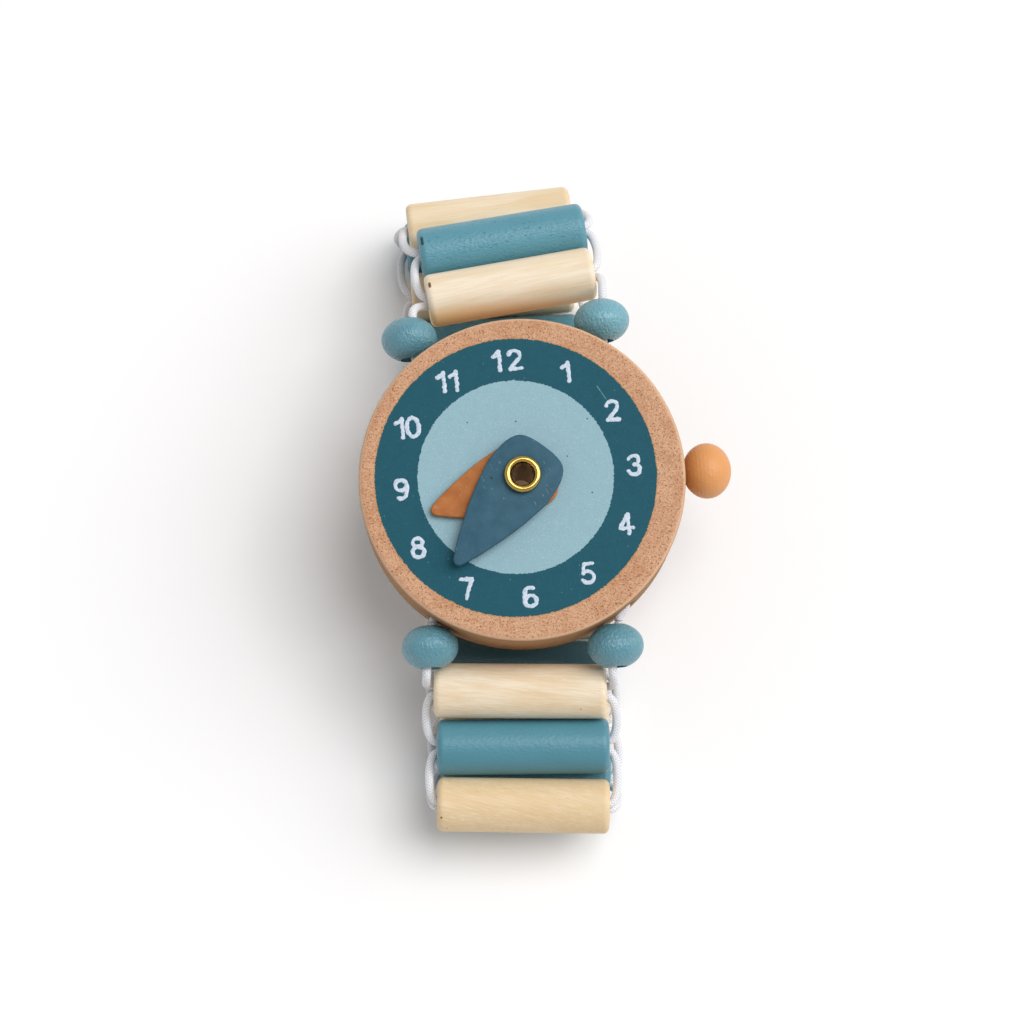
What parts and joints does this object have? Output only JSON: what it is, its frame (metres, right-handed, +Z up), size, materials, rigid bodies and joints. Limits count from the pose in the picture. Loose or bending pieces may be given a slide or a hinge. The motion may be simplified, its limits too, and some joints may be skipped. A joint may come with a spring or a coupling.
{
  "type": "toy wristwatch",
  "caption": "Wooden toy watch: a round dial case with turning hands and a crown ball on a flexing band of cylinder beads laced on elastic.",
  "frame": {"origin": "middle of the case's back face", "axes": "+X towards the crown, +Y along the table towards 12 o'clock, +Z up from the table the watch lies on"},
  "size_m": [0.0541, 0.0989, 0.0329],
  "materials": {
    "case_wood": "matt, with a printed dial",
    "brass": "polished",
    "orange_paint": "satin paint",
    "slate_paint": "satin paint",
    "blue_paint": "satin paint",
    "natural_wood": "smooth, clear",
    "elastic": "braided"
  },
  "bodies": {
    "case": {"case_disc": "case_wood", "eyelet": "brass", "crown_ball": "orange_paint", "crown_peg": "natural_wood", "elastic_case": "elastic"},
    "hour_hand": {"hour_hand": "orange_paint"},
    "minute_hand": {"minute_hand": "slate_paint"},
    "band_top_1": {"bead_top_1": "natural_wood", "ball_top_left": "blue_paint", "ball_top_right": "blue_paint", "elastic_top_end": "elastic"},
    "band_top_2": {"bead_top_2": "blue_paint", "elastic_loop_1": "elastic"},
    "band_top_3": {"bead_top_3": "natural_wood", "elastic_loop_2": "elastic"},
    "band_back_1": {"bead_back_1": "blue_paint", "elastic_loop_3": "elastic"},
    "band_back_2": {"bead_back_2": "natural_wood", "elastic_loop_4": "elastic"},
    "band_back_3": {"bead_back_3": "blue_paint", "elastic_loop_5": "elastic"},
    "band_back_4": {"bead_back_4": "natural_wood", "elastic_loop_6": "elastic"},
    "band_back_5": {"bead_back_5": "blue_paint", "elastic_loop_7": "elastic"},
    "band_bottom_1": {"bead_bottom_1": "natural_wood", "ball_bottom_left": "blue_paint", "ball_bottom_right": "blue_paint", "elastic_bottom_end": "elastic"},
    "band_bottom_2": {"bead_bottom_2": "blue_paint", "elastic_loop_16": "elastic"},
    "band_bottom_3": {"bead_bottom_3": "natural_wood", "elastic_loop_15": "elastic"},
    "band_back_11": {"bead_back_11": "blue_paint", "elastic_loop_14": "elastic"},
    "band_back_10": {"bead_back_10": "natural_wood", "elastic_loop_13": "elastic"},
    "band_back_9": {"bead_back_9": "blue_paint", "elastic_loop_12": "elastic"},
    "band_back_8": {"bead_back_8": "natural_wood", "elastic_loop_11": "elastic"},
    "band_back_7": {"bead_back_7": "blue_paint", "elastic_loop_10": "elastic"},
    "band_back_6": {"bead_back_6": "natural_wood", "elastic_loop_9": "elastic", "elastic_loop_8": "elastic"}
  },
  "joints": [
    {"name": "hour_hand_turn", "type": "hinge", "parent": "case", "child": "hour_hand", "pos_m": [0, -0.00094, 0.01287], "axis": [0, -0.0731, 0.9973], "continuous": true},
    {"name": "minute_hand_turn", "type": "hinge", "parent": "case", "child": "minute_hand", "pos_m": [0, -0.00103, 0.01401], "axis": [0, -0.0731, 0.9973], "continuous": true},
    {"name": "band_top_1_turn", "type": "hinge", "parent": "case", "child": "band_top_1", "pos_m": [-0.00057, 0.02262, 0.0078], "axis": [0.9997, 0.0231, 0.0017], "range_deg": [-9.16, 0]},
    {"name": "band_top_2_turn", "type": "hinge", "parent": "band_top_1", "child": "band_top_2", "pos_m": [0.00075, 0.03025, 0.00446], "axis": [0.9945, 0.1045, 0], "range_deg": [-22.17, 0]},
    {"name": "band_top_3_turn", "type": "hinge", "parent": "band_top_2", "child": "band_top_3", "pos_m": [0.00015, 0.03816, 0.00189], "axis": [0.9956, 0.0941, 0], "range_deg": [0, 37.76]},
    {"name": "band_back_1_turn", "type": "hinge", "parent": "band_top_3", "child": "band_back_1", "pos_m": [-0.00135, 0.04404, -0.00465], "axis": [0.999, 0.0436, 0], "range_deg": [0, 4.03]},
    {"name": "band_back_2_turn", "type": "hinge", "parent": "band_back_1", "child": "band_back_2", "pos_m": [-0.0019, 0.04375, -0.01304], "axis": [0.9997, 0.0262, 0], "range_deg": [0, 30.23]},
    {"name": "band_back_3_turn", "type": "hinge", "parent": "band_back_2", "child": "band_back_3", "pos_m": [-0.00158, 0.03529, -0.01304], "axis": [1, 0.0035, 0], "range_deg": [-26.71, 0]},
    {"name": "band_back_4_turn", "type": "hinge", "parent": "band_back_3", "child": "band_back_4", "pos_m": [-0.00133, 0.02684, -0.01304], "axis": [0.9998, -0.0175, 0], "range_deg": [-5.07, 0]},
    {"name": "band_back_5_turn", "type": "hinge", "parent": "band_back_4", "child": "band_back_5", "pos_m": [-0.00118, 0.0184, -0.01304], "axis": [0.9993, -0.0384, 0], "range_deg": [-2.01, 0]},
    {"name": "band_bottom_1_turn", "type": "hinge", "parent": "case", "child": "band_bottom_1", "pos_m": [-0.00171, -0.02392, 0.00439], "axis": [0.9977, -0.0681, -0.005], "range_deg": [-12.47, 0]},
    {"name": "band_bottom_2_turn", "type": "hinge", "parent": "band_bottom_1", "child": "band_bottom_2", "pos_m": [-0.0025, -0.02938, -0.00118], "axis": [0.9965, -0.0837, 0], "range_deg": [0, 33.9]},
    {"name": "band_bottom_3_turn", "type": "hinge", "parent": "band_bottom_2", "child": "band_bottom_3", "pos_m": [-0.00263, -0.03703, -0.00459], "axis": [0.9977, -0.068, 0], "range_deg": [0, 18.21]},
    {"name": "band_flex", "type": "hinge", "parent": "band_bottom_3", "child": "band_back_11", "pos_m": [-0.00325, -0.04541, -0.00592], "axis": [-0.9957, 0.0924, 0], "range_deg": [0, 45]},
    {"name": "band_back_10_turn", "type": "hinge", "parent": "band_back_11", "child": "band_back_10", "pos_m": [-0.0024, -0.04024, -0.01304], "axis": [0.9895, -0.1444, 0], "range_deg": [-20.45, 0]},
    {"name": "band_back_9_turn", "type": "hinge", "parent": "band_back_10", "child": "band_back_9", "pos_m": [-0.00198, -0.03189, -0.01304], "axis": [0.9912, -0.1323, 0], "range_deg": [0, 14.16]},
    {"name": "band_back_8_turn", "type": "hinge", "parent": "band_back_9", "child": "band_back_8", "pos_m": [-0.00162, -0.02357, -0.01304], "axis": [0.9925, -0.1219, 0], "range_deg": [0, 4.12]},
    {"name": "band_back_7_turn", "type": "hinge", "parent": "band_back_8", "child": "band_back_7", "pos_m": [-0.00137, -0.01521, -0.01304], "axis": [0.9942, -0.108, 0], "range_deg": [0, 2.18]},
    {"name": "band_back_6_turn", "type": "hinge", "parent": "band_back_7", "child": "band_back_6", "pos_m": [-0.0012, -0.00683, -0.01304], "axis": [0.9957, -0.0924, 0], "range_deg": [0, 6.84]}
  ],
  "couplings": [
    {"joint": "band_top_1_turn", "follows": "band_flex", "ratio": -0.20042},
    {"joint": "band_top_2_turn", "follows": "band_flex", "ratio": -0.48668},
    {"joint": "band_top_3_turn", "follows": "band_flex", "ratio": 0.82975},
    {"joint": "band_back_1_turn", "follows": "band_flex", "ratio": 0.087623},
    {"joint": "band_back_2_turn", "follows": "band_flex", "ratio": 0.664},
    {"joint": "band_back_3_turn", "follows": "band_flex", "ratio": -0.58653},
    {"joint": "band_back_4_turn", "follows": "band_flex", "ratio": -0.11037},
    {"joint": "band_back_5_turn", "follows": "band_flex", "ratio": -0.043144},
    {"joint": "band_bottom_1_turn", "follows": "band_flex", "ratio": -0.27326},
    {"joint": "band_bottom_2_turn", "follows": "band_flex", "ratio": 0.74484},
    {"joint": "band_bottom_3_turn", "follows": "band_flex", "ratio": 0.39952},
    {"joint": "band_back_10_turn", "follows": "band_flex", "ratio": -0.44889},
    {"joint": "band_back_9_turn", "follows": "band_flex", "ratio": 0.31044},
    {"joint": "band_back_8_turn", "follows": "band_flex", "ratio": 0.089498},
    {"joint": "band_back_7_turn", "follows": "band_flex", "ratio": 0.046922},
    {"joint": "band_back_6_turn", "follows": "band_flex", "ratio": 0.14944}
  ]
}
